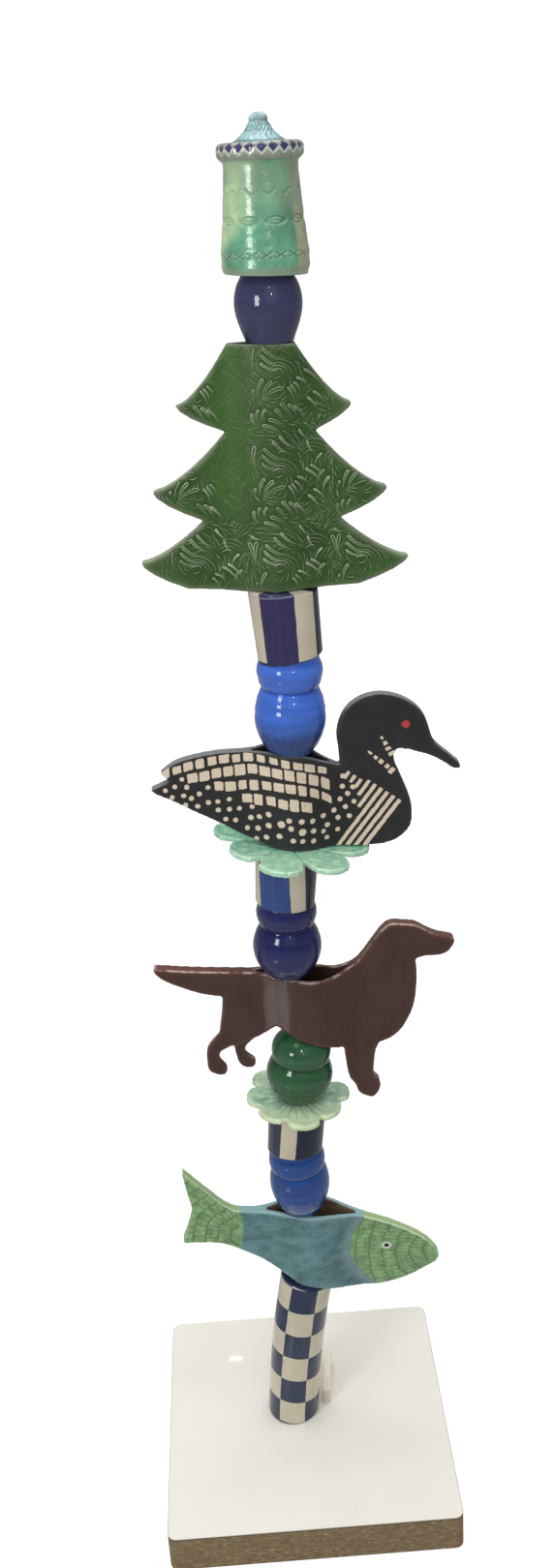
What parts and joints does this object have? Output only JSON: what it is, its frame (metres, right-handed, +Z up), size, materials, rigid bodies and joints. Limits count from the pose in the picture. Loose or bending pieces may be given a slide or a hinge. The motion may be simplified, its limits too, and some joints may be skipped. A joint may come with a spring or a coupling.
{
  "type": "garden totem pole",
  "caption": "Stacked ceramic garden totem of a tree, a water bird, a dog and a fish between beads and striped cylinders, standing on a square board.",
  "frame": {"origin": "middle of the base board's underside", "axes": "+Z up along the pole, +X to the noses of the animals, -Y to the front"},
  "size_m": [0.3316, 0.305, 1.367],
  "materials": {
    "board": "white melamine face with bare chipboard edges",
    "bare_wood": "sawn and unfinished",
    "blue_white_glaze": "dark blue and cream underglaze under a clear gloss",
    "teal_glaze": "satin teal and green glaze",
    "blue_glaze": "gloss",
    "celadon_glaze": "gloss pale green",
    "green_glaze": "gloss dark green",
    "brown_glaze": "gloss red-brown",
    "navy_glaze": "gloss",
    "black_slip": "satin black slip with cream marks",
    "sky_glaze": "gloss",
    "leaf_glaze": "satin green over stamped relief",
    "moss_glaze": "gloss moss green"
  },
  "bodies": {
    "root": {"base_board": "board", "wood_block": "bare_wood", "checked_column": "blue_white_glaze", "fish": "teal_glaze", "blue_bead": "blue_glaze", "lower_striped_cylinder": "blue_white_glaze", "lower_flower": "celadon_glaze", "green_bead": "green_glaze", "dog": "brown_glaze", "navy_bead": "navy_glaze", "middle_striped_cylinder": "blue_white_glaze", "upper_flower": "celadon_glaze", "loon": "black_slip", "sky_blue_bead": "sky_glaze", "upper_striped_cylinder": "blue_white_glaze", "tree": "leaf_glaze", "cobalt_bead": "navy_glaze", "finial": "moss_glaze"}
  },
  "joints": []
}
